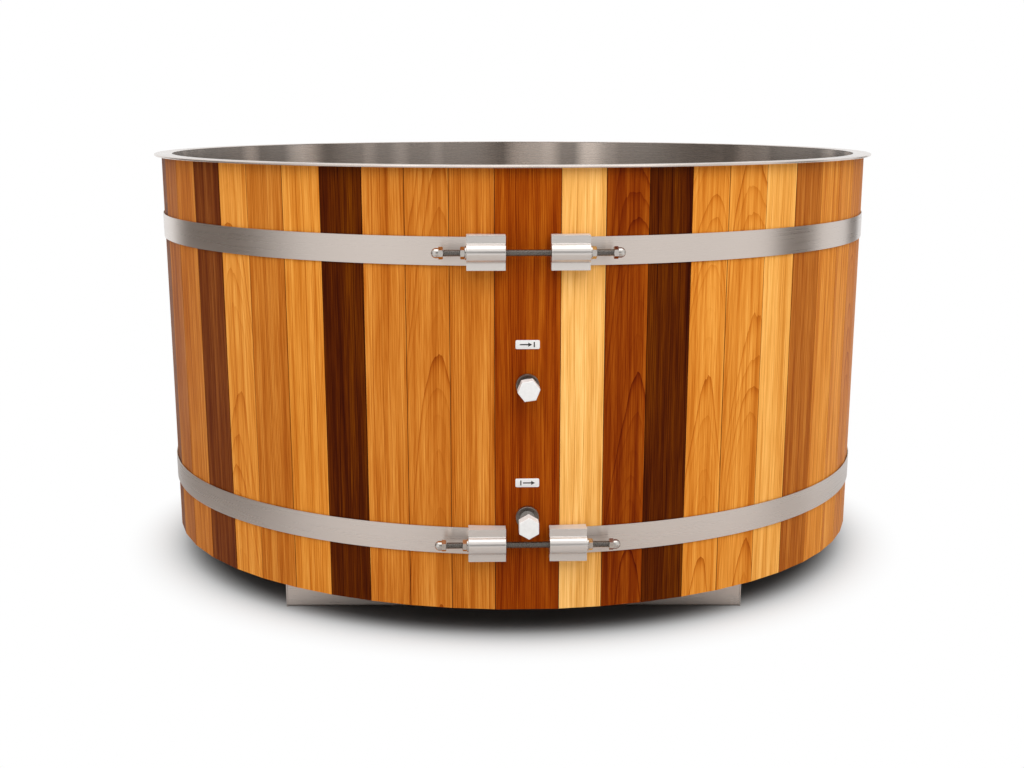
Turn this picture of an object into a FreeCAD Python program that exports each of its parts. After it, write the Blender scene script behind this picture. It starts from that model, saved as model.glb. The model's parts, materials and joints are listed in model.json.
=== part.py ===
import FreeCAD, Part
import math
import os

Vector = FreeCAD.Vector

# Frame: millimetres, +Z up, the ports face -Y.
# The origin is on the ground, on the tub's axis.

# Steel basin
BASIN_RADIUS = 741.0
BASIN_SHEET = 2.0
FLOOR_SHEET = 3.0
RIM_OVERHANG = 16.3
RIM_LIP = 9.0

# Wooden staves
STAVE_THICKNESS = 19.0
STAVE_LENGTH = 804.0
STAVE_GROUND_GAP = 57.0
NARROW_BOARD = 80.0
MIDDLE_BOARD = 85.0
WIDE_BOARD = 92.0
BROAD_BOARD = 98.0
PORT_BOARD = 117.0
BACK_BOARD = 82.0
BOARD_SEAM = 0.2
BOARD_EASE = 1.5
STAVE_NODES = 14

# Hoops
HOOP_WIDTH = 50.0
HOOP_THICKNESS = 1.5
UPPER_HOOP_DROP = 145.0
LOWER_HOOP_RISE = 132.0
HOOP_END_TUCK = 6.0

# Hoop closure
LUG_LENGTH = 68.0
LUG_HEIGHT = 61.0
LUG_GAP = 79.0
LUG_BASE = 6.0
LUG_BOSS_RADIUS = 17.5
LUG_BORE = 13.0
ROD_STANDOFF = 15.0
ROD_DIAMETER = 12.0
NUT_FLATS = 19.0
NUT_HEIGHT = 10.5
ROD_BARE_END = 29.5
ACORN_HEX_HEIGHT = 8.0
ACORN_NECK = 4.0
ACORN_DOME_DIAMETER = 18.0
ACORN_DOME_STEPS = 2

# Ports
INLET_RISE = 422.0
OUTLET_RISE = 178.0
INLET_REACH = 60.0
OUTLET_REACH = 78.0
INLET_CAP_TURN = 8.0
OUTLET_CAP_TURN = 30.0
NIPPLE_DIAMETER = 26.9
NIPPLE_BORE = 20.9
NIPPLE_INSIDE = 4.0
COLLAR_DIAMETER = 42.0
COLLAR_THICKNESS = 10.0
CAP_FLATS = 35.0
CAP_LENGTH = 26.0
CAP_END = 5.0
CAP_BEVEL = 2.0
GASKET_THICKNESS = 3.0
PORT_HOLE_CLEARANCE = 1.5

# Label plates
LABEL_WIDTH = 43.0
LABEL_HEIGHT = 16.0
LABEL_THICKNESS = 1.0
INLET_LABEL_RISE = 73.0
OUTLET_LABEL_RISE = 64.0

# Plinth
PLINTH_WIDTH = 897.0
PLINTH_DEPTH = 1178.0
PLINTH_HEIGHT = 100.0
PLINTH_SHEET = 3.0
PLINTH_FLANGE = 40.0
PLINTH_BEND = 5.0
PLINTH_BEARERS = 3
PLINTH_TURN = -1.8

# Clearances
SEAT_GAP = 0.3
WELD_GAP = 0.05
RUNNING_GAP = 0.05

# Boards on each side of the port board, from the port board outwards
LEFT_BOARDS = (
    [NARROW_BOARD] * 3 + [MIDDLE_BOARD] * 2 + [WIDE_BOARD, MIDDLE_BOARD] + [BROAD_BOARD] * 3
)
RIGHT_BOARDS = (
    [NARROW_BOARD] * 2 + [MIDDLE_BOARD, NARROW_BOARD] + [WIDE_BOARD, MIDDLE_BOARD] * 2
)

# Radii and heights that follow from the sizes above
wall_outer = BASIN_RADIUS + BASIN_SHEET
stave_inner = wall_outer + SEAT_GAP
stave_outer = stave_inner + STAVE_THICKNESS
stave_bottom = STAVE_GROUND_GAP
stave_top = stave_bottom + STAVE_LENGTH
rim_under = stave_top + SEAT_GAP
rim_top = rim_under + BASIN_SHEET
rim_radius = stave_outer + RIM_OVERHANG
wall_bottom = PLINTH_HEIGHT + FLOOR_SHEET
wall_top = rim_under

# The hoops touch the corners of the widest board
widest_half_angle = math.atan(PORT_BOARD / 2 / stave_outer)
hoop_inner = stave_outer / math.cos(widest_half_angle)
hoop_outer = hoop_inner + HOOP_THICKNESS
hoop_heights = {
    "upper": stave_top - UPPER_HOOP_DROP,
    "lower": stave_bottom + LOWER_HOOP_RISE,
}

# Places along the rod, from the middle of the gap between the lugs
lug_start = LUG_GAP / 2
lug_end = lug_start + LUG_LENGTH
nut_start = lug_end + WELD_GAP
nut_end = nut_start + NUT_HEIGHT
rod_end = nut_end + ROD_BARE_END
lug_seat = hoop_outer + WELD_GAP
lug_face = math.sqrt(lug_seat**2 - lug_start**2) + LUG_BASE
rod_distance = lug_face + ROD_STANDOFF

PORTS = {
    "inlet": (stave_bottom + INLET_RISE, INLET_REACH, INLET_CAP_TURN, INLET_LABEL_RISE),
    "outlet": (stave_bottom + OUTLET_RISE, OUTLET_REACH, OUTLET_CAP_TURN, OUTLET_LABEL_RISE),
}

SIDES = {"left": -1, "right": 1}
UP = Vector(0, 0, 1)
OUT = Vector(0, -1, 0)
ORIGIN = Vector(0, 0, 0)


def outline_face(pieces):
    """A flat face inside a closed chain of lines (two points) and arcs (three points)."""
    edges = []
    for points in pieces:
        if len(points) == 3:
            edges.append(Part.Arc(*points).toShape())
        else:
            edges.append(Part.LineSegment(*points).toShape())
    return Part.Face(Part.Wire(edges))


def polygon_face(points):
    return Part.Face(Part.makePolygon(points + points[:1]))


def quarter_arc(start, corner, end):
    """Start, middle and end of the arc that rounds a square corner."""
    centre = start + end - corner
    middle = centre + (corner - centre) * (1 / math.sqrt(2))
    return (start, middle, end)


def revolved(face):
    return face.revolve(ORIGIN, UP, 360)


def tube(outer_radius, inner_radius, start, length, direction):
    outside = Part.makeCylinder(outer_radius, length, start, direction)
    return outside.cut(Part.makeCylinder(inner_radius, length, start, direction))


def port_point(distance, height):
    """A point on a port's axis, at this distance from the tub's axis."""
    return Vector(0, -distance, height)


def hex_prism(flats, length):
    """A hexagon along +Z with one corner on +X."""
    corner_radius = flats / math.sqrt(3)
    corners = []
    for step in range(6):
        angle = math.radians(60 * step)
        corners.append(Vector(corner_radius * math.cos(angle), corner_radius * math.sin(angle), 0))
    return polygon_face(corners).extrude(Vector(0, 0, length))


def laid_along(shape, place, direction, turn=0.0):
    """Turns a shape modelled along +Z about that axis, then lays it along a direction."""
    shape = shape.copy()
    shape.rotate(ORIGIN, UP, turn)
    shape.Placement = FreeCAD.Placement(place, FreeCAD.Rotation(UP, direction)).multiply(shape.Placement)
    return shape


# Basin


def basin_floor():
    return Part.makeCylinder(wall_outer, FLOOR_SHEET, Vector(0, 0, PLINTH_HEIGHT))


def basin_wall():
    wall = tube(wall_outer, BASIN_RADIUS, Vector(0, 0, wall_bottom), wall_top - wall_bottom, UP)
    for height, _, _, _ in PORTS.values():
        radius = NIPPLE_DIAMETER / 2 + WELD_GAP
        hole = Part.makeCylinder(radius, stave_outer, ORIGIN + Vector(0, 0, height), OUT)
        wall = wall.cut(hole)
    return wall


def rim_flange():
    """A flat ring on top of the wall and the staves, with its outer edge turned down."""
    lip_bottom = rim_top - RIM_LIP
    lip_back = rim_radius - BASIN_SHEET
    profile = polygon_face([
        Vector(BASIN_RADIUS, 0, rim_under),
        Vector(BASIN_RADIUS, 0, rim_top),
        Vector(rim_radius, 0, rim_top),
        Vector(rim_radius, 0, lip_bottom),
        Vector(lip_back, 0, lip_bottom),
        Vector(lip_back, 0, rim_under),
    ])
    return revolved(profile)


# Staves


def board_half_angle(width):
    return math.degrees(math.atan(width / 2 / stave_outer))


def board_places():
    """(azimuth of the middle, half angle) of every board but the port board, round to the right."""
    port_half = board_half_angle(PORT_BOARD)
    right = []
    edge = port_half
    for width in RIGHT_BOARDS:
        half = board_half_angle(width)
        right.append((edge + half, half))
        edge += 2 * half
    left = []
    left_edge = -port_half
    for width in LEFT_BOARDS:
        half = board_half_angle(width)
        left.append((left_edge - half, half))
        left_edge -= 2 * half
    back_arc = 360 + left_edge - edge
    back_count = max(1, round(back_arc / (2 * board_half_angle(BACK_BOARD))))
    back_half = back_arc / back_count / 2
    back = [(edge + back_half * (2 * step + 1), back_half) for step in range(back_count)]
    return right + back + left[::-1]


def stave(azimuth, half_angle):
    """One flat-faced board: its sides point at the tub's axis and its outer edges are eased."""
    half = math.radians(half_angle)
    seam = BOARD_SEAM / 2 / math.cos(half)
    inner = stave_inner * math.tan(half) - seam
    outer = stave_outer * math.tan(half) - seam
    eased = stave_outer - BOARD_EASE
    outline = [
        Vector(-inner, -stave_inner, stave_bottom),
        Vector(inner, -stave_inner, stave_bottom),
        Vector(eased * math.tan(half) - seam, -eased, stave_bottom),
        Vector(outer - BOARD_EASE, -stave_outer, stave_bottom),
        Vector(BOARD_EASE - outer, -stave_outer, stave_bottom),
        Vector(seam - eased * math.tan(half), -eased, stave_bottom),
    ]
    board = polygon_face(outline).extrude(Vector(0, 0, STAVE_LENGTH))
    board.rotate(ORIGIN, UP, azimuth)
    return board


def port_stave():
    board = stave(0.0, board_half_angle(PORT_BOARD))
    for height, _, _, _ in PORTS.values():
        radius = NIPPLE_DIAMETER / 2 + PORT_HOLE_CLEARANCE
        hole = Part.makeCylinder(radius, stave_outer, ORIGIN + Vector(0, 0, height), OUT)
        board = board.cut(hole)
    return board


def stave_groups():
    """The other boards, shared out evenly over a fixed number of neighbouring groups."""
    places = board_places()
    groups = {}
    for number, (azimuth, half_angle) in enumerate(places):
        group = number * STAVE_NODES // len(places) + 1
        groups.setdefault(f"staves_{group:02d}", []).append(stave(azimuth, half_angle))
    return {name: Part.makeCompound(boards) for name, boards in groups.items()}


# Hoops and their closures


def hoop(height):
    """A flat strap round the staves, with each end tucked under a lug."""
    bottom = Vector(0, 0, height - HOOP_WIDTH / 2)
    strap = tube(hoop_outer, hoop_inner, bottom, HOOP_WIDTH, UP)
    half_opening = lug_start + HOOP_END_TUCK
    opening = Part.makeBox(
        2 * half_opening, 2 * hoop_outer, HOOP_WIDTH, bottom + Vector(-half_opening, -2 * hoop_outer, 0)
    )
    return strap.cut(opening)


def lug(side, height):
    """An extruded block: a base, seated on the curve of the hoop, and a round boss for the rod."""
    back = hoop_inner - LUG_BASE
    half = LUG_HEIGHT / 2
    boss = LUG_BOSS_RADIUS

    def at(distance, rise):
        return Vector(lug_start, -distance, height + rise)

    profile = outline_face([
        (at(back, -half), at(lug_face, -half)),
        (at(lug_face, -half), at(lug_face, -boss)),
        (at(lug_face, -boss), at(rod_distance, -boss)),
        (at(rod_distance, -boss), at(rod_distance + boss, 0), at(rod_distance, boss)),
        (at(rod_distance, boss), at(lug_face, boss)),
        (at(lug_face, boss), at(lug_face, half)),
        (at(lug_face, half), at(back, half)),
        (at(back, half), at(back, -half)),
    ])
    block = profile.extrude(Vector(LUG_LENGTH, 0, 0))
    seat = Part.makeCylinder(lug_seat, LUG_HEIGHT, Vector(0, 0, height - half))
    bore = Part.makeCylinder(LUG_BORE / 2, LUG_LENGTH, at(rod_distance, 0), Vector(1, 0, 0))
    block = block.cut(seat).cut(bore)
    if side < 0:
        block = block.mirror(ORIGIN, Vector(1, 0, 0))
    return block


def on_rod(side, distance, height):
    return Vector(side * distance, -rod_distance, height)


def rod(height):
    start = on_rod(-1, rod_end, height)
    return Part.makeCylinder(ROD_DIAMETER / 2, 2 * rod_end, start, Vector(1, 0, 0))


def hex_nut(side, height):
    nut = hex_prism(NUT_FLATS, NUT_HEIGHT)
    nut = nut.cut(Part.makeCylinder(ROD_DIAMETER / 2 + RUNNING_GAP, NUT_HEIGHT))
    return laid_along(nut, on_rod(side, nut_start, height), Vector(side, 0, 0))


def acorn_nut(side, height):
    """A hexagon with a domed cap, on the end of the rod."""
    radius = ACORN_DOME_DIAMETER / 2
    dome_start = ACORN_HEX_HEIGHT + ACORN_NECK
    profile = [Vector(0, 0, ACORN_HEX_HEIGHT), Vector(radius, 0, ACORN_HEX_HEIGHT)]
    for step in range(ACORN_DOME_STEPS):
        angle = math.pi / 2 * step / ACORN_DOME_STEPS
        profile.append(Vector(radius * math.cos(angle), 0, dome_start + radius * math.sin(angle)))
    profile.append(Vector(0, 0, dome_start + radius))
    nut = hex_prism(NUT_FLATS, ACORN_HEX_HEIGHT).fuse(revolved(polygon_face(profile)))
    return laid_along(nut, on_rod(side, rod_end, height), Vector(side, 0, 0))


# Ports


def collar(height):
    """A turned ring round the nipple, on the face of the port board."""
    bore = NIPPLE_DIAMETER / 2 + WELD_GAP
    return tube(COLLAR_DIAMETER / 2, bore, port_point(stave_outer, height), COLLAR_THICKNESS, OUT)


def cap_mouth(reach):
    return stave_outer + reach - CAP_LENGTH


def gasket_start(reach):
    return stave_outer + reach - CAP_END - WELD_GAP - GASKET_THICKNESS


def nipple(height, reach):
    start = BASIN_RADIUS - NIPPLE_INSIDE
    length = gasket_start(reach) - WELD_GAP - start
    return tube(NIPPLE_DIAMETER / 2, NIPPLE_BORE / 2, port_point(start, height), length, OUT)


def gasket(height, reach):
    radius = NIPPLE_DIAMETER / 2 - RUNNING_GAP
    return Part.makeCylinder(radius, GASKET_THICKNESS, port_point(gasket_start(reach), height), OUT)


def hex_cap(height, reach, turn):
    """A closed hexagonal cap over the end of the nipple."""
    cap = hex_prism(CAP_FLATS, CAP_LENGTH)
    front_edges = [edge for edge in cap.Edges if edge.BoundBox.ZMin > CAP_LENGTH - CAP_BEVEL]
    cap = cap.makeChamfer(CAP_BEVEL, front_edges)
    bore_depth = CAP_LENGTH - CAP_END
    cap = cap.cut(Part.makeCylinder(NIPPLE_DIAMETER / 2 + RUNNING_GAP, bore_depth))
    return laid_along(cap, port_point(cap_mouth(reach), height), OUT, turn)


def label_plate(height):
    """A thin plate on the face of the port board."""
    corner = Vector(-LABEL_WIDTH / 2, -stave_outer - LABEL_THICKNESS, height - LABEL_HEIGHT / 2)
    return Part.makeBox(LABEL_WIDTH, LABEL_THICKNESS, LABEL_HEIGHT, corner)


# Plinth


def channel(web_face, facing):
    """A folded channel across the plinth: web_face is the Y of its web, facing the way its flanges run."""
    half_length = PLINTH_WIDTH / 2 - PLINTH_SHEET - WELD_GAP
    sheet = PLINTH_SHEET
    bend = PLINTH_BEND
    flange = PLINTH_FLANGE
    top = PLINTH_HEIGHT

    def at(depth, height):
        return Vector(-half_length, web_face + facing * depth, height)

    profile = outline_face([
        (at(flange, 0), at(bend, 0)),
        quarter_arc(at(bend, 0), at(0, 0), at(0, bend)),
        (at(0, bend), at(0, top - bend)),
        quarter_arc(at(0, top - bend), at(0, top), at(bend, top)),
        (at(bend, top), at(flange, top)),
        (at(flange, top), at(flange, top - sheet)),
        (at(flange, top - sheet), at(sheet, top - sheet)),
        (at(sheet, top - sheet), at(sheet, sheet)),
        (at(sheet, sheet), at(flange, sheet)),
        (at(flange, sheet), at(flange, 0)),
    ])
    return profile.extrude(Vector(2 * half_length, 0, 0))


def side_plate(side):
    inner_face = PLINTH_WIDTH / 2 - PLINTH_SHEET
    start = inner_face if side > 0 else -PLINTH_WIDTH / 2
    return Part.makeBox(
        PLINTH_SHEET, PLINTH_DEPTH, PLINTH_HEIGHT, Vector(start, -PLINTH_DEPTH / 2, 0)
    )


def plinth_parts():
    parts = {
        "plinth_front_panel": channel(-PLINTH_DEPTH / 2, 1),
        "plinth_rear_panel": channel(PLINTH_DEPTH / 2, -1),
        "plinth_left_plate": side_plate(-1),
        "plinth_right_plate": side_plate(1),
    }
    spacing = PLINTH_DEPTH / (PLINTH_BEARERS + 1)
    for number in range(1, PLINTH_BEARERS + 1):
        middle = -PLINTH_DEPTH / 2 + number * spacing
        parts[f"plinth_bearer_{number}"] = channel(middle - PLINTH_FLANGE / 2, 1)
    for shape in parts.values():
        shape.rotate(ORIGIN, UP, PLINTH_TURN)
    return parts


def all_parts():
    parts = {
        "basin_floor": basin_floor(),
        "basin_wall": basin_wall(),
        "rim_flange": rim_flange(),
        "port_stave": port_stave(),
    }
    parts.update(stave_groups())
    parts.update(plinth_parts())
    acorns = []
    for level, height in hoop_heights.items():
        parts[f"{level}_hoop"] = hoop(height)
        parts[f"{level}_rod"] = rod(height)
        parts[f"{level}_lugs"] = Part.makeCompound([lug(side, height) for side in SIDES.values()])
        for side_name, side in SIDES.items():
            parts[f"{level}_{side_name}_nut"] = hex_nut(side, height)
            acorns.append(acorn_nut(side, height))
    parts["acorn_nuts"] = Part.makeCompound(acorns)
    collars = []
    nipples = []
    labels = []
    for name, (height, reach, turn, label_rise) in PORTS.items():
        parts[f"{name}_gasket"] = gasket(height, reach)
        parts[f"{name}_cap"] = hex_cap(height, reach, turn)
        collars.append(collar(height))
        nipples.append(nipple(height, reach))
        labels.append(label_plate(height + label_rise))
    parts["port_collars"] = Part.makeCompound(collars)
    parts["port_nipples"] = Part.makeCompound(nipples)
    parts["label_plates"] = Part.makeCompound(labels)
    return parts


os.makedirs("parts", exist_ok=True)
for node, shape in all_parts().items():
    shape.exportStep(f"parts/{node}.step")
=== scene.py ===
"""Dresses the solids of a cold plunge tub in cedar, brushed steel and hoop hardware, in a plain studio."""

import json
import math
import random

import bmesh
import bpy
from mathutils import Matrix, Vector

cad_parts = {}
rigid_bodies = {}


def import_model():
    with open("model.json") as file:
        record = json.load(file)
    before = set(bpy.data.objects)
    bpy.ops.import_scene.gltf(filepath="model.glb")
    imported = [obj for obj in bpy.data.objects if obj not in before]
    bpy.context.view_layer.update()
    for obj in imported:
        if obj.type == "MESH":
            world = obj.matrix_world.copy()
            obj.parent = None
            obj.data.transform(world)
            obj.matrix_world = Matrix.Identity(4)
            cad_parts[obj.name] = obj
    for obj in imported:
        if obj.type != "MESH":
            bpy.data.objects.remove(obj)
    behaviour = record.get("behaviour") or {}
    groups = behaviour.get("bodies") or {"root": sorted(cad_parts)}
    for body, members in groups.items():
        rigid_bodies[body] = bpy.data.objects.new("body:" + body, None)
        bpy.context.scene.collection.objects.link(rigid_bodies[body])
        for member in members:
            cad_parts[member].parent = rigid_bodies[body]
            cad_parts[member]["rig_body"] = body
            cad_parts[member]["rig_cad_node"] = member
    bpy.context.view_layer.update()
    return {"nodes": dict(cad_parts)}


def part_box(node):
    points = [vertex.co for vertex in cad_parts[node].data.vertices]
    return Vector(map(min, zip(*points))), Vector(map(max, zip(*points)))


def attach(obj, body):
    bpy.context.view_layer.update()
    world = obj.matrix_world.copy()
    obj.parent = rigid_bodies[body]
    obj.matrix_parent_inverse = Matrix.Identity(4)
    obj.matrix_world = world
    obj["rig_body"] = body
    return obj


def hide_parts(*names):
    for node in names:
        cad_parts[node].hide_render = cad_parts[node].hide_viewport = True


bl_info = {
    "name": "Cold Plunge Tub",
    "version": (1, 0, 0),
    "blender": (4, 5, 0),
    "location": "View3D > Sidebar > Tub",
    "description": "Cedar staves, steel hoops and water ports on the solids of a cold plunge tub",
    "category": "Object",
}

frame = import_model()

# Places that the solids give, in metres
STAVE_LOW, STAVE_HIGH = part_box("port_stave")
STAVE_OUTER = -STAVE_LOW.y
STAVE_INNER = -STAVE_HIGH.y
WALL_LOW, WALL_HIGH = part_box("basin_wall")
FLOOR_LOW, FLOOR_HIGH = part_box("basin_floor")
RIM_LOW, RIM_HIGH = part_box("rim_flange")
LEVELS = ("upper", "lower")
SIDES = {"left": -1, "right": 1}
PORTS = ("inlet", "outlet")

# Sheet metal, in metres; ends are measured from the tub's middle plane
SHEET = 0.002
WELD_RADIUS = 0.005
STRAP = 0.0015
HOOP_END = 0.0455
LUG_END = 0.0395
LUG_BEHIND_ROD = 0.035
LUG_BORE = 0.0065
TOUCH_GAP = 0.00005
SHEET_EASE = 0.0004
PLINTH_EASE = 0.0006

# Fasteners, in metres
ROD_RADIUS = 0.006
ROD_THREAD = 0.0010
NUT_FLATS = 0.019
NUT_HEIGHT = 0.008
NUT_BORE = 0.00605
NUT_FACE = 0.0092
NUT_CORNER = 0.0112
NUT_CHAMFER = 0.0011
NUT_EASE = 0.0002
WASHER_THICK = 0.0025
WASHER_HOLE = 0.0065
DOME_RADIUS = 0.009
DOME_FOOT = 0.0075
DOME_CENTRE = 0.012

# Water ports, in metres and degrees; the collar's outline is (radius, height)
BOARD_HOLE = 0.01495
WALL_HOLE = 0.0135
COLLAR = (
    (0.0135, 0),
    (0.021, 0),
    (0.021, 0.0088),
    (0.0201, 0.0100),
    (0.0188, 0.0100),
    (0.0182, 0.0088),
    (0.0135, 0.0088),
)
PIPE_BORE = 0.01045
PIPE_ROOT = 0.0124
PIPE_CREST = 0.01345
PIPE_THREAD = 0.0011
PIPE_INSIDE = 0.006
THREAD_FROM_BOARD = 0.004
SHOULDER_BORE = 0.0120
SHOULDER_LENGTH = 0.033
CAP_FLATS = 0.035
CAP_BORE = 0.0135
CAP_END = 0.005
CAP_FACE_EASE = 0.0018
CAP_CORNER_EASE = 0.0010
CAP_TURNS = (8.0, 30.0)

# Label plates, in metres; the arrow's reach, shaft and head are halves
LABEL_HEIGHT = 0.016
LABEL_THICK = 0.001
LABEL_CORNER = 0.0025
LABEL_EASE = 0.0003
MARK_THICK = 0.0001
ARROW_REACH = 0.011
ARROW_HEAD_FROM = 0.004
ARROW_SHAFT = 0.0011
ARROW_HEAD = 0.0038
ARROW_SHIFT = 0.003
BAR_WIDTH = 0.0022
BAR_HEIGHT = 0.0092
BAR_SHIFT = 0.01175

# Cylinder that cuts every hole, edge of a board that counts as its side, and studio floor, in metres
CUTTER = 0.2
SIDE_BAND = 0.0002
STUDIO_WIDTH = 24

# Steps of round shapes, sides of holes, and the part of a thread's pitch that is its crest
BASIN_STEPS = 256
FLOOR_STEPS = 128
HOOP_STEPS = 320
COLLAR_STEPS = 96
SMALL_STEPS = 64
THREAD_STEPS = 28
DOME_STEPS = 12
SEAT_SIDES = 512
HOLE_SIDES = 48
CREST = (0.34, 0.66)

# Boards from the port board outwards, as (width, tone, grain); the back takes every seventh tone
RIGHT_BOARDS = (
    ("narrow", "pale", "straight"),
    ("narrow", "sienna", "arched"),
    ("middle", "dark", "straight"),
    ("narrow", "amber", "arched"),
    ("wide", "amber", "arched"),
    ("middle", "straw", "straight"),
    ("wide", "russet", "straight"),
    ("middle", "amber", "straight"),
)
LEFT_BOARDS = (
    ("narrow", "tan", "straight"),
    ("narrow", "tan", "arched"),
    ("narrow", "tan", "straight"),
    ("middle", "dark", "straight"),
    ("middle", "amber", "straight"),
    ("wide", "tan", "straight"),
    ("middle", "honey", "arched"),
    ("broad", "umber", "straight"),
    ("broad", "tan", "straight"),
    ("broad", "russet", "straight"),
)
BACK_TONES = (
    "amber", "honey", "straw", "tan", "chestnut", "dark", "umber", "tan", "amber", "russet", "pale",
)
BACK_STEP = 7
GRAINS = ("straight", "arched", "straight")


def linear(code):
    """An sRGB hex colour as linear red, green, blue and alpha."""
    channels = []
    for start in (0, 2, 4):
        value = int(code[start:start + 2], 16) / 255
        channels.append(value / 12.92 if value <= 0.04045 else ((value + 0.055) / 1.055) ** 2.4)
    return (*channels, 1.0)


def number(name, default, description, **kind):
    return bpy.props.FloatProperty(name=name, description=description, default=default, **kind)


def length(name, default, description):
    return number(name, default, description, unit="LENGTH")


def colour(name, code, description):
    return bpy.props.FloatVectorProperty(
        name=name, description=description, default=linear(code), size=4, subtype="COLOR", min=0, max=1
    )


class TubBoards(bpy.types.PropertyGroup):
    """Sizes of the cedar boards"""

    narrow: length("Narrow", 0.080, "Width of a narrow board")
    middle: length("Middle", 0.085, "Width of a middling board")
    wide: length("Wide", 0.092, "Width of a wide board")
    broad: length("Broad", 0.098, "Width of the broadest plain board")
    port: length("Port", 0.117, "Width of the board that carries the ports")
    back: length("Back", 0.082, "Width that the boards at the back come near to")
    seam: length("Seam", 0.0005, "Gap between two boards")
    ease: length("Ease", 0.0009, "Rounding of a board's outer edges")


class TubTones(bpy.types.PropertyGroup):
    """Tones of the cedar boards"""

    pale: colour("Pale", "F5B662", "Sapwood")
    straw: colour("Straw", "F2AA50", "Light heartwood")
    honey: colour("Honey", "E6943A", "Yellow heartwood")
    amber: colour("Amber", "E08E34", "Orange heartwood")
    tan: colour("Tan", "CA7828", "Plain heartwood")
    russet: colour("Russet", "B66820", "Red heartwood")
    chestnut: colour("Chestnut", "9C4606", "Deep red heartwood")
    sienna: colour("Sienna", "8A3A04", "Dark red heartwood")
    umber: colour("Umber", "7A3A0E", "Brown heartwood")
    dark: colour("Dark", "582200", "Darkest heartwood")


class TubMetal(bpy.types.PropertyGroup):
    """Sizes and colours of the metal pieces"""

    rod_pitch: length("Rod Pitch", 0.00175, "Thread pitch of the tension rods")
    pipe_pitch: length("Pipe Pitch", 0.001814, "Thread pitch of the pipe nipples")
    washer: length("Washer", 0.024, "Diameter of the washer under each nut")
    edge: length("Edge", 0.0008, "Rounding of the lugs' edges")
    bead: length("Bead", 0.0045, "Height of the rim's rolled edge")
    sheet: colour("Sheet", "CABFB7", "Brushed stainless sheet")
    basin: colour("Basin", "C2B7AE", "Brushed stainless basin")
    extrusion: colour("Extrusion", "D2CCC7", "Mill-finish aluminium")
    bright: colour("Bright", "C4BEB8", "Bright stainless nuts and washers")
    turned: colour("Turned", "8E8984", "Duller stainless of collars, nipples and rods")
    satin: colour("Satin", "E6E5E3", "Bead-blasted stainless caps")


class TubStage(bpy.types.PropertyGroup):
    """Camera and light"""

    lens: number("Lens", 50.5, "Focal length", unit="CAMERA")
    shift: number("Shift", 0.068, "Vertical shift of the lens")
    pitch: number("Pitch", math.radians(13.76), "Downward tilt", subtype="ANGLE")
    turn: number("Turn", math.radians(1.99), "Turn to the right of the tub's axis", subtype="ANGLE")
    place: bpy.props.FloatVectorProperty(
        name="Place", description="Where the camera stands", default=(-0.115, -3.274, 0.969), subtype="XYZ"
    )
    world: number("World", 0.79, "Strength of the light all round")
    above: number("Above", 45.0, "Power of the softbox above", unit="POWER")
    front: number("Front", 72.0, "Power of the softbox in front", unit="POWER")


# Modelling


def only(*objects):
    """Selects these objects alone; the first is the active one."""
    bpy.ops.object.select_all(action="DESELECT")
    for obj in objects:
        obj.select_set(True)
    bpy.context.view_layer.objects.active = objects[0]


def named(name):
    """Names what an add operator has just made."""
    obj = bpy.context.object
    obj.name = name
    obj.data.name = name
    return obj


def select_mesh():
    bpy.ops.mesh.select_all(action="SELECT")


def edit(obj):
    only(obj)
    bpy.ops.object.mode_set(mode="EDIT")
    bpy.ops.mesh.select_mode(type="VERT")
    select_mesh()


def done():
    bpy.ops.object.mode_set(mode="OBJECT")


def pick(obj, kind, test):
    """In edit mode, selects only the vertices, edges or faces that pass the test."""
    bpy.ops.mesh.select_mode(type=kind)
    bpy.ops.mesh.select_all(action="DESELECT")
    mesh = bmesh.from_edit_mesh(obj.data)
    items = {"VERT": mesh.verts, "EDGE": mesh.edges, "FACE": mesh.faces}[kind]
    for item in items:
        if test(item):
            item.select_set(True)
    bmesh.update_edit_mesh(obj.data)


def middle_of(edge):
    return (edge.verts[0].co + edge.verts[1].co) / 2


def runs_along(edge, axis):
    return abs((edge.verts[1].co - edge.verts[0].co).normalized()[axis]) > 0.99


def ease(obj, width, segments, test):
    """In edit mode, rounds the edges that pass the test."""
    pick(obj, "EDGE", test)
    bpy.ops.mesh.bevel(offset=width, segments=segments, affect="EDGES")


def face_outwards():
    """In edit mode, turns every face's normal outwards."""
    select_mesh()
    bpy.ops.mesh.normals_make_consistent(inside=False)


def modify(obj, kind, **settings):
    """Adds a modifier with its settings and applies it."""
    modifier = obj.modifiers.new(kind.title(), kind)
    for name, value in settings.items():
        setattr(modifier, name, value)
    only(obj)
    bpy.ops.object.modifier_apply(modifier=modifier.name)


def soften(obj, width):
    """Rounds every sharp edge."""
    modify(obj, "BEVEL", width=width, segments=2, limit_method="ANGLE", angle_limit=math.radians(30))


def carve(obj, tool, operation="DIFFERENCE"):
    """Cuts a shape with another, which is then removed."""
    modify(obj, "BOOLEAN", operation=operation, object=tool, solver="EXACT")
    bpy.data.objects.remove(tool)


def join(name, *objects):
    only(*objects)
    bpy.ops.object.join()
    return named(name)


def place(obj, matrix):
    """Moves a shape and applies the move, so its place is in its mesh."""
    obj.matrix_world = matrix
    only(obj)
    bpy.ops.object.transform_apply(location=True, rotation=True, scale=True)
    return obj


def copied(obj, name):
    only(obj)
    bpy.ops.object.duplicate()
    return named(name)


def discard(*objects):
    """Removes the patterns that copies were made from."""
    for obj in objects:
        bpy.data.objects.remove(obj)


def bore(obj, radius, matrix, sides=HOLE_SIDES):
    """Cuts a round hole with a long cylinder, whose middle and axis the matrix gives."""
    bpy.ops.mesh.primitive_cylinder_add(vertices=sides, radius=radius, depth=CUTTER)
    carve(obj, place(bpy.context.object, matrix))


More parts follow.
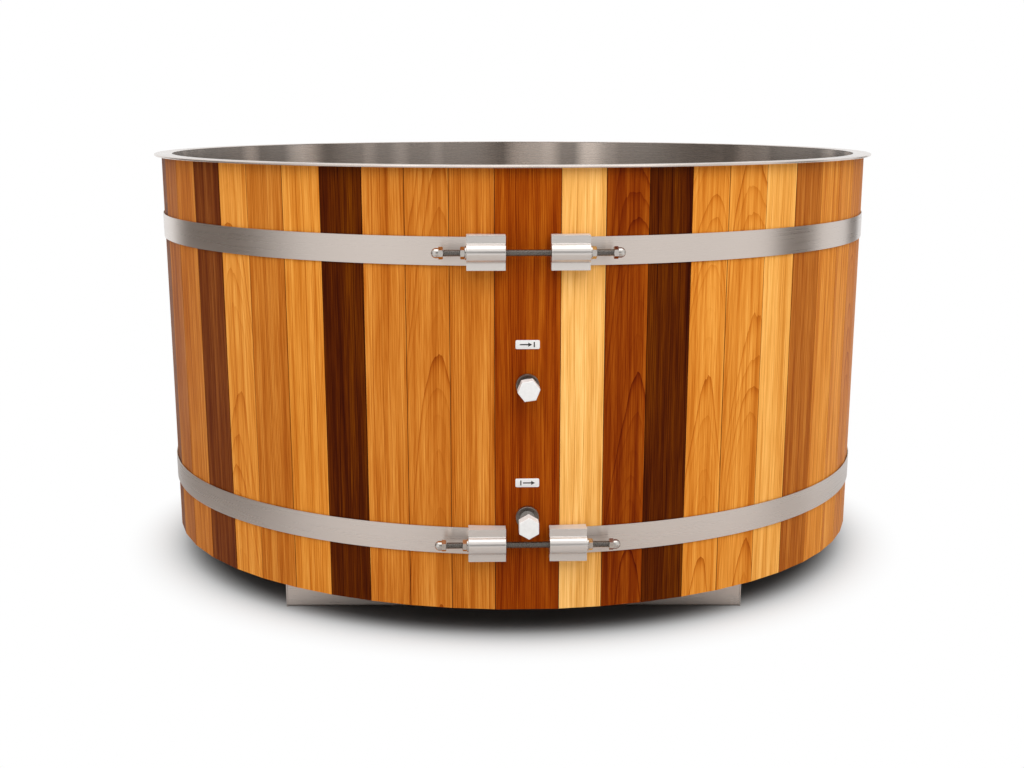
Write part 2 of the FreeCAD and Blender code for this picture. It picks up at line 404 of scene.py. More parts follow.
def block(name, size):
    """A box about the origin, in edit mode."""
    bpy.ops.mesh.primitive_cube_add(size=1)
    obj = named(name)
    edit(obj)
    bpy.ops.transform.resize(value=size, center_override=(0, 0, 0))
    return obj


def draw(name, points):
    """Draws a chain of edges through points, by extruding one vertex, and stays in edit mode."""
    bpy.ops.mesh.primitive_plane_add(size=0.01)
    obj = named(name)
    edit(obj)
    bpy.ops.mesh.merge(type="CENTER")
    bpy.ops.transform.translate(value=points[0])
    for before, after in zip(points, points[1:]):
        step = Vector(after) - Vector(before)
        bpy.ops.mesh.extrude_vertices_move(TRANSFORM_OT_translate={"value": step})
    select_mesh()
    return obj


def lathe(name, outline, steps, closed=True, angle=math.tau):
    """Spins an outline of (radius, height) points about the Z axis."""
    obj = draw(name, [(radius, 0, height) for radius, height in outline])
    if closed:
        bpy.ops.mesh.edge_face_add()
        bpy.ops.mesh.delete(type="ONLY_FACE")
        select_mesh()
    bpy.ops.mesh.spin(steps=steps, angle=angle, center=(0, 0, 0), axis=(0, 0, 1))
    select_mesh()
    bpy.ops.mesh.remove_doubles(threshold=1e-6)
    select_mesh()
    bpy.ops.mesh.fill_holes(sides=len(outline))
    face_outwards()
    done()
    return obj


def tube(name, inner, outer, low, high, steps, angle=math.tau):
    """A plain round tube or ring, or part of one."""
    outline = [(inner, low), (outer, low), (outer, high), (inner, high)]
    return lathe(name, outline, steps, angle=angle)


def extrusion(name, points, move):
    """Fills an outline and extrudes it."""
    obj = draw(name, points)
    bpy.ops.mesh.edge_face_add()
    bpy.ops.mesh.extrude_region_move(TRANSFORM_OT_translate={"value": move})
    face_outwards()
    done()
    return obj


def hexagon(name, flats, height):
    """A hexagonal prism on the origin, along +Z, with a corner on +X."""
    bpy.ops.mesh.primitive_cylinder_add(vertices=6, radius=flats / math.sqrt(3), depth=height)
    stand = Matrix.Translation((0, 0, height / 2))
    return place(named(name), stand @ Matrix.Rotation(math.radians(30), 4, "Z"))


def turned_hexagon(name, both_ends):
    """A nut's hexagon with its corners turned off at the foot, or at both ends."""
    obj = hexagon(name, NUT_FLATS, NUT_HEIGHT)
    head = [(NUT_CORNER, NUT_HEIGHT)]
    if both_ends:
        head = [(NUT_CORNER, NUT_HEIGHT - NUT_CHAMFER), (NUT_FACE, NUT_HEIGHT)]
    outline = [(0, 0), (NUT_FACE, 0), (NUT_CORNER, NUT_CHAMFER), *head, (0, NUT_HEIGHT)]
    carve(obj, lathe("blank", outline, SMALL_STEPS, closed=False), "INTERSECT")
    return obj


def thread(name, crest, depth, pitch, distance):
    """A screw thread along Z: one V of the thread, with a flat crest, is drawn and wound up."""
    root = crest - depth
    flat = [(crest, 0, pitch * part) for part in CREST]
    obj = draw(name, [(root, 0, 0), *flat, (root, 0, pitch)])
    done()
    modify(
        obj,
        "SCREW",
        axis="Z",
        angle=math.tau,
        screw_offset=pitch,
        iterations=round(distance / pitch) - 1,
        steps=THREAD_STEPS,
        render_steps=THREAD_STEPS,
        use_merge_vertices=True,
        merge_threshold=1e-6,
        use_smooth_shade=True,
    )
    edit(obj)
    face_outwards()
    done()
    return obj


def along_x(sign, start, depth, height):
    """Lays a shape modelled along +Z on the rod's line, pointing left or right."""
    return Matrix.Translation((sign * start, depth, height)) @ Matrix.Rotation(sign * math.pi / 2, 4, "Y")


def out_of_port(distance, height, turn=0.0):
    """Lays a shape modelled along +Z on a port's line, pointing away from the tub."""
    lay = Matrix.Rotation(math.pi / 2, 4, "X")
    return Matrix.Translation((0, -distance, height)) @ lay @ Matrix.Rotation(turn, 4, "Z")


def port_height(name):
    """Height of a port's line, which its gasket is centred on."""
    low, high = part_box(f"{name}_gasket")
    return (low.z + high.z) / 2


def settle(obj, material, slot, *nodes, angle=30):
    """Finishes a piece: its material, its shading, the solids it stands for and the body it rides on."""
    obj.data.materials.clear()
    obj.data.materials.append(material)
    only(obj)
    bpy.ops.object.shade_smooth_by_angle(angle=math.radians(angle))
    modify(obj, "WEIGHTED_NORMAL", keep_sharp=True)
    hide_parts(*nodes)
    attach(obj, frame["nodes"][nodes[0]]["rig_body"])


# Materials


def add_node(tree, kind, inputs=(), **settings):
    """Adds a shader node with its settings and returns its outputs.

    Its inputs come in order or by name, and each is a value or another node's output. A map range
    takes the value, the range that it comes from and the range that it goes to.
    """
    item = tree.nodes.new(f"ShaderNode{kind}")
    for name, value in settings.items():
        setattr(item, name, value)
    pairs = inputs.items() if isinstance(inputs, dict) else enumerate(inputs)
    for key, value in pairs:
        if isinstance(value, bpy.types.NodeSocket):
            tree.links.new(value, item.inputs[key])
        else:
            item.inputs[key].default_value = value
    return item.outputs


def new_material(name):
    """A material and its node tree, which is still empty."""
    material = bpy.data.materials.new(name)
    material.use_nodes = True
    material.node_tree.nodes.clear()
    return material, material.node_tree


def oiled_cedar():
    """Oiled cedar, sawn and sanded: growth lines that run straight or arch, soft streaks, a low sheen."""
    material, tree = new_material("oiled_cedar")
    spot = add_node(tree, "Attribute", attribute_name="board_place")["Vector"]
    tone = add_node(tree, "Attribute", attribute_name="board_tone")["Color"]
    edge = add_node(tree, "Attribute", attribute_name="board_edge")["Fac"]

    # Noise pulled out along the trunk; the scales are in noise cells per metre, across and along
    grain = {}
    for name, across, along, detail in (
        ("wander", 9, 2.2, 1.0),
        ("waver", 80, 7, 2.0),
        ("band", 24, 1.3, 2.0),
        ("streak", 80, 1.8, 3.0),
        ("fibre", 330, 5, 3.0),
        ("pore", 800, 14, 2.0),
    ):
        pulled = add_node(tree, "VectorMath", (spot, (across, 0, along)), operation="MULTIPLY")
        noise = add_node(tree, "TexNoise", {"Vector": pulled[0], "Scale": 1.0, "Detail": detail})
        grain[name] = noise["Fac"]

    # Distance from the trunk's heart, which wanders and wavers along the trunk
    flat = add_node(tree, "VectorMath", (spot, (1, 1, 0)), operation="MULTIPLY")
    depth = add_node(tree, "VectorMath", (flat[0],), operation="LENGTH")["Value"]
    for name, swing in (("wander", 0.024), ("waver", 0.0016)):
        depth = add_node(tree, "Math", (grain[name], swing, depth), operation="MULTIPLY_ADD")[0]

    # Growth rings 3.8 mm apart, coarser than the real ones so that they show, each of its own strength
    rings = add_node(tree, "Math", (depth, 0.0038), operation="DIVIDE")[0]
    through = add_node(tree, "Math", (rings,), operation="FRACT")[0]
    line = add_node(tree, "Math", (through, 5.0), operation="POWER")[0]
    ring = add_node(tree, "Math", (rings,), operation="FLOOR")[0]
    chance = add_node(tree, "TexWhiteNoise", {"W": ring}, noise_dimensions="1D")["Value"]
    own = add_node(tree, "Math", (chance, 2.0), operation="POWER")[0]
    grain["ring"] = add_node(tree, "Math", (line, own), operation="MULTIPLY")[0]

    # The more pigment a spot holds, the deeper the board's own tone is there
    pigment = 0.0
    for name, low, high, least, most in (
        ("band", 0.35, 0.65, 0.91, 1.07),
        ("streak", 0.42, 0.75, -0.05, 0.24),
        ("fibre", 0.45, 0.75, -0.03, 0.19),
        ("pore", 0.40, 0.72, -0.04, 0.15),
        ("ring", 0.0, 1.0, -0.03, 0.60),
    ):
        share = add_node(tree, "MapRange", (grain[name], low, high, least, most))
        pigment = add_node(tree, "Math", (share[0], pigment), operation="ADD")[0]
    deep = add_node(tree, "Gamma", (tone, pigment))
    brightness = add_node(tree, "MapRange", (pigment, 0.75, 1.6, 1.16, 0.50))
    deep = add_node(tree, "VectorMath", {0: deep[0], "Scale": brightness[0]}, operation="SCALE")
    shade = add_node(
        tree, "Mix", {0: edge, 6: deep[0], 7: linear("4A2408")}, data_type="RGBA", blend_type="MULTIPLY"
    )
    dull = add_node(tree, "MapRange", (grain["pore"], 0.3, 0.7, 0.40, 0.58))
    bump = add_node(tree, "Bump", {"Strength": 0.15, "Distance": 0.0004, "Height": grain["fibre"]})
    shader = add_node(
        tree,
        "BsdfPrincipled",
        {
            "Base Color": shade[2],
            "Roughness": dull[0],
            "Normal": bump[0],
            "Specular IOR Level": 0.03,
            "Sheen Weight": 0.12,
            "Sheen Roughness": 0.30,
            "Sheen Tint": linear("FFD8B4"),
        },
    )
    add_node(tree, "OutputMaterial", {"Surface": shader[0]})
    return material


def brushed_sheet(name, base, rough, lines, painted_reflection_bands=None, round_tub=True):
    """Stainless sheet, brushed lengthwise: fine lines that pull every highlight out across them.

    Where a sheet has painted reflection bands, they come as how many to a radian, the noise that they
    lie between, and the shades that they swing between.
    """
    material, tree = new_material(name)
    spot = add_node(tree, "TexCoord")["Object"]
    axes = add_node(tree, "SeparateXYZ", (spot,))
    if round_tub:
        flat = add_node(tree, "VectorMath", (spot, (1, 1, 0)), operation="MULTIPLY")
        across = add_node(tree, "VectorMath", (flat[0],), operation="LENGTH")["Value"]
        along = add_node(tree, "Math", (axes[0], axes[1]), operation="ARCTAN2")[0]
        pull = add_node(tree, "CombineXYZ", (axes[0], axes[1], 1.0))
    else:
        across = axes[1]
        along = axes[0]
        pull = add_node(tree, "CombineXYZ", (0.0, 0.2, 1.0))

    # Brush lines 1.4 mm apart, coarser than the real ones so that they show
    laid = add_node(tree, "CombineXYZ", (along, across, axes[2]))
    packed = add_node(tree, "VectorMath", (laid[0], (4, 700, 700)), operation="MULTIPLY")
    brush = add_node(tree, "TexNoise", {"Vector": packed[0], "Scale": 1.0, "Detail": 3.0})["Fac"]
    swings = [(brush, 0.3, 0.7, 1 - lines, 1 + lines)]
    if painted_reflection_bands:
        # Painted reflection: soft light and dark bands in the sheet's colour, standing in for the bands that
        # it reflects
        pitch, *swing = painted_reflection_bands
        wave = {"W": along, "Scale": pitch, "Detail": 1.0}
        swings.append((add_node(tree, "TexNoise", wave, noise_dimensions="1D")["Fac"], *swing))
    shade = base[:3]
    for swing in swings:
        tint = add_node(tree, "MapRange", swing)
        shade = add_node(tree, "VectorMath", {0: shade, "Scale": tint[0]}, operation="SCALE")[0]
    dull = add_node(tree, "MapRange", (brush, 0.3, 0.7, rough - 2 * lines, rough + 2 * lines))
    bump = add_node(tree, "Bump", {"Strength": 2 * lines, "Distance": 0.0002, "Height": brush})
    shader = add_node(
        tree,
        "BsdfPrincipled",
        {
            "Base Color": shade,
            "Roughness": dull[0],
            "Normal": bump[0],
            "Tangent": pull[0],
            "Metallic": 1.0,
            "Anisotropic": 0.85,
        },
    )
    add_node(tree, "OutputMaterial", {"Surface": shader[0]})
    return material


def plain_metal(name, base, rough, stretch, low=0.90, high=1.05, metallic=1.0):
    """Metal with a fine finish: scratches or die lines run along the axis that is stretched least.

    Its tint swings between low and high.
    """
    material, tree = new_material(name)
    spot = add_node(tree, "TexCoord")["Object"]
    pulled = add_node(tree, "VectorMath", (spot, stretch), operation="MULTIPLY")
    lines = add_node(tree, "TexNoise", {"Vector": pulled[0], "Scale": 1.0, "Detail": 3.0})["Fac"]
    tint = add_node(tree, "MapRange", (lines, 0.3, 0.7, low, high))
    shade = add_node(tree, "VectorMath", {0: base[:3], "Scale": tint[0]}, operation="SCALE")
    dull = add_node(tree, "MapRange", (lines, 0.3, 0.7, rough - 0.05, rough + 0.07))
    bump = add_node(tree, "Bump", {"Strength": 0.05, "Distance": 0.0002, "Height": lines})
    shader = add_node(
        tree,
        "BsdfPrincipled",
        {"Base Color": shade[0], "Roughness": dull[0], "Normal": bump[0], "Metallic": metallic},
    )
    add_node(tree, "OutputMaterial", {"Surface": shader[0]})
    return material


def plain_solid(name, base, rough, grain, low=0.92, high=1.04, thinning=False):
    """Plastic, ink, felt or rubber with a slightly mottled face.

    Where it is thinning, it is cloth that thins out towards its edges, so that its reflection has
    no hard edge.
    """
    material, tree = new_material(name)
    where = add_node(tree, "TexCoord")
    mottle = add_node(tree, "TexNoise", {"Vector": where["Object"], "Scale": grain, "Detail": 3.0})["Fac"]
    tint = add_node(tree, "MapRange", (mottle, 0.3, 0.7, low, high))
    shade = add_node(tree, "VectorMath", {0: base[:3], "Scale": tint[0]}, operation="SCALE")
    dull = add_node(tree, "MapRange", (mottle, 0.0, 1.0, rough - 0.06, rough + 0.06))
    thick = 1.0
    if thinning:
        spread = add_node(tree, "VectorMath", (where["UV"], (0.5, 0.5, 0)), operation="SUBTRACT")
        spread = add_node(tree, "VectorMath", (spread[0],), operation="ABSOLUTE")
        for reach in add_node(tree, "SeparateXYZ", (spread[0],))[:2]:
            fall = (reach, 0.15, 0.5, 1.0, 0.0)
            thin = add_node(tree, "MapRange", fall, interpolation_type="SMOOTHSTEP")
            thick = add_node(tree, "Math", (thin[0], thick), operation="MULTIPLY")[0]
    shader = add_node(
        tree, "BsdfPrincipled", {"Base Color": shade[0], "Roughness": dull[0], "Alpha": thick}
    )
    add_node(tree, "OutputMaterial", {"Surface": shader[0]})
    return material


# Pieces


def half_angle(width):
    return math.atan(width / 2 / STAVE_OUTER)


def board_places(boards):
    """(azimuth, width, tone, grain) of every board but the port board, from its right all the way round."""
    runs = []
    reaches = []
    for sign, listed in ((1, RIGHT_BOARDS), (-1, LEFT_BOARDS)):
        reach = half_angle(boards.port)
        run = []
        for kind, tone, grain in listed:
            width = getattr(boards, kind)
            run.append((sign * (reach + half_angle(width)), width, tone, grain))
            reach += 2 * half_angle(width)
        runs.append(run)
        reaches.append(reach)
    right, left = runs
    start, end = reaches
    arc = math.tau - end - start
    count = round(arc / (2 * half_angle(boards.back)))
    half = arc / count / 2
    width = 2 * STAVE_OUTER * math.tan(half)
    back = []
    for step in range(count):
        tone = BACK_TONES[step * BACK_STEP % len(BACK_TONES)]
        grain = GRAINS[step % len(GRAINS)]
        back.append((start + half * (2 * step + 1), width, tone, grain))
    return right + back + left[::-1]


def cedar_board(width, boards):
    """One flat-faced board at the front: sides that point at the tub's axis, outer edges eased."""
    half = half_angle(width)
    outer = STAVE_OUTER * math.tan(half) - boards.seam / 2
    inner = STAVE_INNER * math.tan(half) - boards.seam / 2
    centre = (STAVE_LOW + STAVE_HIGH) / 2
    size = STAVE_HIGH - STAVE_LOW
    obj = block("board", (2 * outer, size.y, size.z))
    bpy.ops.transform.translate(value=(0, centre.y, centre.z))
    pick(obj, "VERT", lambda vertex: vertex.co.y > centre.y)
    bpy.ops.transform.resize(value=(inner / outer, 1, 1), center_override=(0, 0, 0))
    ease(obj, boards.ease, 3, lambda edge: runs_along(edge, 2) and middle_of(edge).y < centre.y)
    ease(obj, boards.ease / 2, 2, lambda edge: runs_along(edge, 0) and middle_of(edge).y < centre.y)
    done()
    return obj


def mark_board(obj, tone, offset, lean):
    """Keeps each board's tone, its place in the trunk it was sawn from, and its dark sides."""
    mesh = obj.data
    side = max(vertex.co.x for vertex in mesh.vertices) - SIDE_BAND
    kinds = {"board_place": "FLOAT_VECTOR", "board_tone": "FLOAT_COLOR", "board_edge": "FLOAT"}
    for name, kind in kinds.items():
        mesh.attributes.new(name, kind, "POINT")
    for vertex in mesh.vertices:
        sawn_at = vertex.co + offset + Vector((0, lean * vertex.co.z, 0))
        mesh.attributes["board_place"].data[vertex.index].vector = sawn_at
        mesh.attributes["board_tone"].data[vertex.index].color = tone
        mesh.attributes["board_edge"].data[vertex.index].value = float(abs(vertex.co.x) > side)


class TUB_OT_staves(bpy.types.Operator):
    """Cedar boards round the basin, each of its own tone and cut from its own place in a trunk"""

    bl_idname = "tub.staves"
    bl_label = "Staves"

    def execute(self, context):
        boards = context.scene.tub_boards
        tones = context.scene.tub_tones
        chance = random.Random(7)
        cedar = oiled_cedar()
        templates = {}

        def sawn(obj, tone, grain):
            """Straight grain is from a board cut towards the heart, arched from one cut aslant beside it."""
            if grain == "straight":
                across = chance.choice((-1, 1)) * chance.uniform(0.15, 0.30)
                lean = 0.0
            else:
                across = chance.uniform(-0.02, 0.02)
                lean = chance.uniform(0.05, 0.09)
            offset = Vector((across, STAVE_OUTER + chance.uniform(0.05, 0.10), chance.uniform(0, 50)))
            mark_board(obj, getattr(tones, tone), offset, lean)

        def board(azimuth, width, tone, grain):
            key = round(width, 6)
            if key not in templates:
                templates[key] = cedar_board(width, boards)
            obj = copied(templates[key], "board")
            sawn(obj, tone, grain)
            return place(obj, Matrix.Rotation(azimuth, 4, "Z"))

        port = cedar_board(boards.port, boards)
        port.name = "cedar_port_board"
        for name in PORTS:
            bore(port, BOARD_HOLE, out_of_port(STAVE_OUTER, port_height(name)))
        sawn(port, "chestnut", "straight")
        settle(port, cedar, "cedar", "port_stave")
        places = board_places(boards)
        nodes = sorted(name for name in frame["nodes"] if name.startswith("staves_"))
        for share, node in enumerate(nodes):
            members = [
                board(*spot)
                for index, spot in enumerate(places)
                if index * len(nodes) // len(places) == share
            ]
            settle(join(f"cedar_{node}", *members), cedar, "cedar", node)
        discard(*templates.values())
        return {"FINISHED"}


class TUB_OT_basin(bpy.types.Operator):
    """Steel basin: rolled wall, floor with its weld, and rim flange with a rolled edge"""

    bl_idname = "tub.basin"
    bl_label = "Basin"

    def execute(self, context):
        metal = context.scene.tub_metal
        outer = WALL_HIGH.x
        inner = outer - SHEET
        wall = tube("basin_shell", inner, outer, WALL_LOW.z, WALL_HIGH.z, BASIN_STEPS)
        for name in PORTS:
            bore(wall, WALL_HOLE, out_of_port(outer, port_height(name)))
        # Painted reflection bands, the strongest of all, in the colour of the basin's inside
        painted_reflection_bands = (4.6, 0.50, 0.68, 0.70, 1.70)
        steel = brushed_sheet("brushed_basin_steel", metal.basin, 0.27, 0.004, painted_reflection_bands)
        settle(wall, steel, "basin_steel", "basin_wall")

        disc = lathe(
            "basin_bottom",
            [(0, FLOOR_HIGH.z), (outer, FLOOR_HIGH.z), (outer, FLOOR_LOW.z), (0, FLOOR_LOW.z)],
            FLOOR_STEPS,
            closed=False,
        )
        corner = [(inner, FLOOR_HIGH.z)]
        for slope in (0, 0.5, 1.0, math.pi / 2):
            rise = FLOOR_HIGH.z + WELD_RADIUS * math.sin(slope)
            corner.append((inner - WELD_RADIUS * math.cos(slope), rise))
        weld = lathe("weld", corner, BASIN_STEPS)
        plate = brushed_sheet("brushed_floor_steel", metal.basin, 0.30, 0.015, round_tub=False)
        settle(join("basin_bottom", disc, weld), plate, "basin_steel", "basin_floor")

        # The shortest reach of the solid's facets, so that the rim stays inside the solid's box
        edge = -RIM_LOW.x
        # The flange's edge is rolled to a half-round bead
        bead = metal.bead / 2
        under = RIM_HIGH.z - SHEET
        outline = [(inner, under), (inner, RIM_HIGH.z)]
        for step in range(13):
            slope = math.radians(90 - 15 * step)
            outline.append((edge - bead + bead * math.cos(slope), RIM_HIGH.z - bead + bead * math.sin(slope)))
        outline.append((edge - 2 * bead, under))
        rim = lathe("rolled_rim", outline, BASIN_STEPS)
        soften(rim, SHEET_EASE)
        # The rim's colour carries faint painted reflection bands
        rolled = brushed_sheet("brushed_rim_steel", metal.sheet, 0.24, 0.01, (6.0, 0.3, 0.7, 0.92, 1.08))
        settle(rim, rolled, "basin_steel", "rim_flange")
        return {"FINISHED"}


class TUB_OT_hoops(bpy.types.Operator):
    """Flat steel straps round the staves, open at the front under the lugs"""

    bl_idname = "tub.hoops"
    bl_label = "Hoops"

    def execute(self, context):
        metal = context.scene.tub_metal
        # The hoops' colour carries broad painted reflection bands
        steel = brushed_sheet("brushed_hoop_steel", metal.sheet, 0.30, 0.02, (1.7, 0.3, 0.7, 0.9, 1.1))
        for level in LEVELS:
            low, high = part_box(f"{level}_hoop")
            outer = high.x
            half = math.asin(HOOP_END / outer)
            turn = math.tau - 2 * half
            strap = tube(f"hoop_strap_{level}", outer - STRAP, outer, low.z, high.z, HOOP_STEPS, turn)
            place(strap, Matrix.Rotation(-half - math.pi / 2, 4, "Z"))
            soften(strap, SHEET_EASE)
            settle(strap, steel, "hoop_steel", f"{level}_hoop")
        return {"FINISHED"}


class TUB_OT_lugs(bpy.types.Operator):
    """Extruded lugs on the hoop ends, bored for the rod"""

    bl_idname = "tub.lugs"
    bl_label = "Lugs"

    def execute(self, context):
        metal = context.scene.tub_metal
        # The die's skin dulls the mirror of the faces, and far more that of the flat top
        aluminium = plain_metal("mill_aluminium", metal.extrusion, 0.18, (12, 900, 900), 0.97, 1.02, 0.7)
        frosted = plain_metal("frosted_aluminium", metal.extrusion, 0.50, (60, 900, 900), 0.97, 1.02, 0.3)
        for level in LEVELS:
            low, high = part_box(f"{level}_lugs")
            rod_low, rod_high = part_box(f"{level}_rod")
            axis = (rod_low.y + rod_high.y) / 2
            middle = (low.z + high.z) / 2
            boss = axis - low.y
            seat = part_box(f"{level}_hoop")[1].x + TOUCH_GAP

            # A thick saddle with a half-round boss along its face
            arc = []
            for step in range(-15, 16):
                slope = math.radians(5 * step)
                arc.append((0, axis - boss * math.cos(slope), middle + boss * math.sin(slope)))
            face = arc[0][1]
            back = axis + LUG_BEHIND_ROD
            outline = [(0, back, low.z), (0, face, low.z), *arc, (0, face, high.z), (0, back, high.z)]
            lug = extrusion("lug", outline, (high.x - LUG_END, 0, 0))
            place(lug, Matrix.Translation((LUG_END, 0, 0)))
            bore(lug, seat, Matrix.Translation((0, 0, middle)), sides=SEAT_SIDES)
            bore(lug, LUG_BORE, along_x(1, (LUG_END + high.x) / 2, axis, middle))
            soften(lug, metal.edge)
            other = copied(lug, "lug")
            edit(other)
            bpy.ops.transform.resize(value=(-1, 1, 1), center_override=(0, 0, 0))
            face_outwards()
            done()
            pair = join(f"lug_pair_{level}", lug, other)
            settle(pair, aluminium, "lug_aluminium", f"{level}_lugs")
            pair.data.materials.append(frosted)
            pair.active_material_index = 1
            edit(pair)
            pick(pair, "FACE", lambda item: item.normal.z > 0.9)
            bpy.ops.object.material_slot_assign()
            done()
        return {"FINISHED"}


class TUB_OT_fasteners(bpy.types.Operator):
    """Threaded rods, the nuts and washers that tighten them, and acorn nuts on their ends"""

    bl_idname = "tub.fasteners"
    bl_label = "Fasteners"

    def execute(self, context):
        metal = context.scene.tub_metal
        bright = plain_metal("bright_stainless", metal.bright, 0.14, (260, 260, 260))
        dark = plain_metal("rolled_thread_stainless", metal.turned, 0.28, (500, 500, 500))

        nut = turned_hexagon("nut", both_ends=True)
        bore(nut, NUT_BORE, Matrix.Identity(4))
        soften(nut, NUT_EASE)
        place(nut, Matrix.Translation((0, 0, WASHER_THICK)))
        washer = tube("washer", WASHER_HOLE, metal.washer / 2, 0, WASHER_THICK, SMALL_STEPS)
        soften(washer, SHEET_EASE)
        nut = join("nut", nut, washer)

        acorn = turned_hexagon("acorn", both_ends=False)
        soften(acorn, NUT_EASE)
        outline = [(DOME_RADIUS, DOME_FOOT)]
        for step in range(DOME_STEPS):
            slope = math.pi / 2 * step / DOME_STEPS
            outline.append((DOME_RADIUS * math.cos(slope), DOME_CENTRE + DOME_RADIUS * math.sin(slope)))
        outline.append((0, DOME_CENTRE + DOME_RADIUS))
        acorn = join("acorn", acorn, lathe("dome", outline, SMALL_STEPS, closed=False))

        acorns = []
        for level in LEVELS:
            low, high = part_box(f"{level}_rod")
            depth = (low.y + high.y) / 2
            height = (low.z + high.z) / 2
            rod = thread("rod", ROD_RADIUS, ROD_THREAD, metal.rod_pitch, high.x - low.x)
            place(rod, along_x(1, low.x, depth, height))
            rod.name = f"threaded_rod_{level}"
            settle(rod, dark, "fastener_steel", f"{level}_rod", angle=60)
            for side, sign in SIDES.items():
                node = f"{level}_{side}_nut"
                start = min(abs(corner.x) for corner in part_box(node))
                piece = place(copied(nut, f"nut_{level}_{side}"), along_x(sign, start, depth, height))
                settle(piece, bright, "fastener_steel", node)
                acorns.append(place(copied(acorn, "acorn"), along_x(sign, high.x, depth, height)))
        settle(join("acorn_ends", *acorns), bright, "fastener_steel", "acorn_nuts")
        discard(nut, acorn)
        return {"FINISHED"}


class TUB_OT_ports(bpy.types.Operator):
    """Water ports: turned collars, threaded pipe nipples, hexagonal caps and their gaskets"""

    bl_idname = "tub.ports"
    bl_label = "Ports"

    def execute(self, context):
        metal = context.scene.tub_metal
        # Bead blasting scatters light as a dull white paint would, so this metal is only part mirror
        satin = plain_metal("bead_blasted_stainless", metal.satin, 0.60, (180, 180, 180), 0.95, 1.03, 0.15)
        dull = plain_metal("turned_stainless", metal.turned, 0.30, (500, 500, 500))
        rubber = plain_solid("black_rubber", linear("191817"), 0.75, 300.0)
        collar = lathe("collar", COLLAR, COLLAR_STEPS)
        shoulder = tube("shoulder", SHOULDER_BORE, PIPE_CREST, 0, SHOULDER_LENGTH, SMALL_STEPS)
        inside = WALL_HIGH.x - PIPE_INSIDE
        start = STAVE_OUTER + THREAD_FROM_BOARD
        collars = []
        nipples = []
        for name, turn in zip(PORTS, CAP_TURNS):
            gasket = frame["nodes"][f"{name}_gasket"]
            gasket.data.materials.clear()
            gasket.data.materials.append(rubber)
            height = port_height(name)
            reach = -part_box(f"{name}_gasket")[1].y - TOUCH_GAP
            collars.append(place(copied(collar, "collar"), out_of_port(STAVE_OUTER, height)))
            pipe = tube("pipe", PIPE_BORE, PIPE_ROOT, 0, reach - inside, SMALL_STEPS)
            place(pipe, out_of_port(inside, height))
            ring = place(copied(shoulder, "shoulder"), out_of_port(inside, height))
            winding = thread("winding", PIPE_CREST, PIPE_THREAD, metal.pipe_pitch, reach - start)
            place(winding, out_of_port(start, height))
            nipples.append(join("nipple", pipe, ring, winding))

            low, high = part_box(f"{name}_cap")
            front = high.y - low.y
            cap = hexagon(f"hex_cap_{name}", CAP_FLATS, front)
            edit(cap)
            ease(cap, CAP_FACE_EASE, 3, lambda edge: middle_of(edge).z > front * 0.9)
            ease(cap, CAP_CORNER_EASE, 3, lambda edge: runs_along(edge, 2))
            done()
            bore(cap, CAP_BORE, Matrix.Translation((0, 0, front - CAP_END - CUTTER / 2)))
            place(cap, out_of_port(-high.y, height, math.radians(turn)))
            settle(cap, satin, "fitting_steel", f"{name}_cap")
        settle(join("turned_collars", *collars), dull, "fitting_steel", "port_collars")
        settle(join("threaded_nipples", *nipples), dull, "fitting_steel", "port_nipples", angle=60)
        discard(collar, shoulder)
        return {"FINISHED"}


class TUB_OT_labels(bpy.types.Operator):
    """Small plates over the ports, each with an arrow for the way the water runs"""

    bl_idname = "tub.labels"
    bl_label = "Labels"

    def execute(self, context):
        plate_face = plain_solid("engraved_laminate", linear("E2E0DE"), 0.40, 400.0, 0.97, 1.02)
        mark_face = plain_solid("black_engraving", linear("2A2725"), 0.60, 400.0)
        low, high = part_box("label_plates")
        front = -LABEL_THICK / 2
        plate = block("plate", (high.x - low.x, LABEL_THICK, LABEL_HEIGHT))
        ease(plate, LABEL_CORNER, 5, lambda edge: runs_along(edge, 1))
        ease(plate, LABEL_EASE, 2, lambda edge: middle_of(edge).y < front + MARK_THICK)
        done()
        plate.data.materials.append(plate_face)

        lower = [
            (-ARROW_REACH, 0, -ARROW_SHAFT),
            (ARROW_HEAD_FROM, 0, -ARROW_SHAFT),
            (ARROW_HEAD_FROM, 0, -ARROW_HEAD),
        ]
        upper = [(across, 0, -height) for across, _, height in reversed(lower)]
        arrow = extrusion("arrow", [*lower, (ARROW_REACH, 0, 0), *upper], (0, -MARK_THICK, 0))
        bar = block("bar", (BAR_WIDTH, MARK_THICK, BAR_HEIGHT))
        done()
        for mark in (arrow, bar):
            mark.data.materials.append(mark_face)

        parts = []
        depth = (low.y + high.y) / 2
        for side, height in ((-1, high.z - LABEL_HEIGHT / 2), (1, low.z + LABEL_HEIGHT / 2)):
            for part, across, out in (
                (plate, 0, 0),
                (arrow, side * ARROW_SHIFT, front),
                (bar, -side * BAR_SHIFT, front - MARK_THICK / 2),
            ):
                spot = Matrix.Translation((across, depth + out, height))
                parts.append(place(copied(part, "part"), spot))
        whole = join("marked_plates", *parts)
        bpy.ops.object.shade_smooth_by_angle(angle=math.radians(30))
        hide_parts("label_plates")
        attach(whole, "tub")
        discard(plate, arrow, bar)
        return {"FINISHED"}


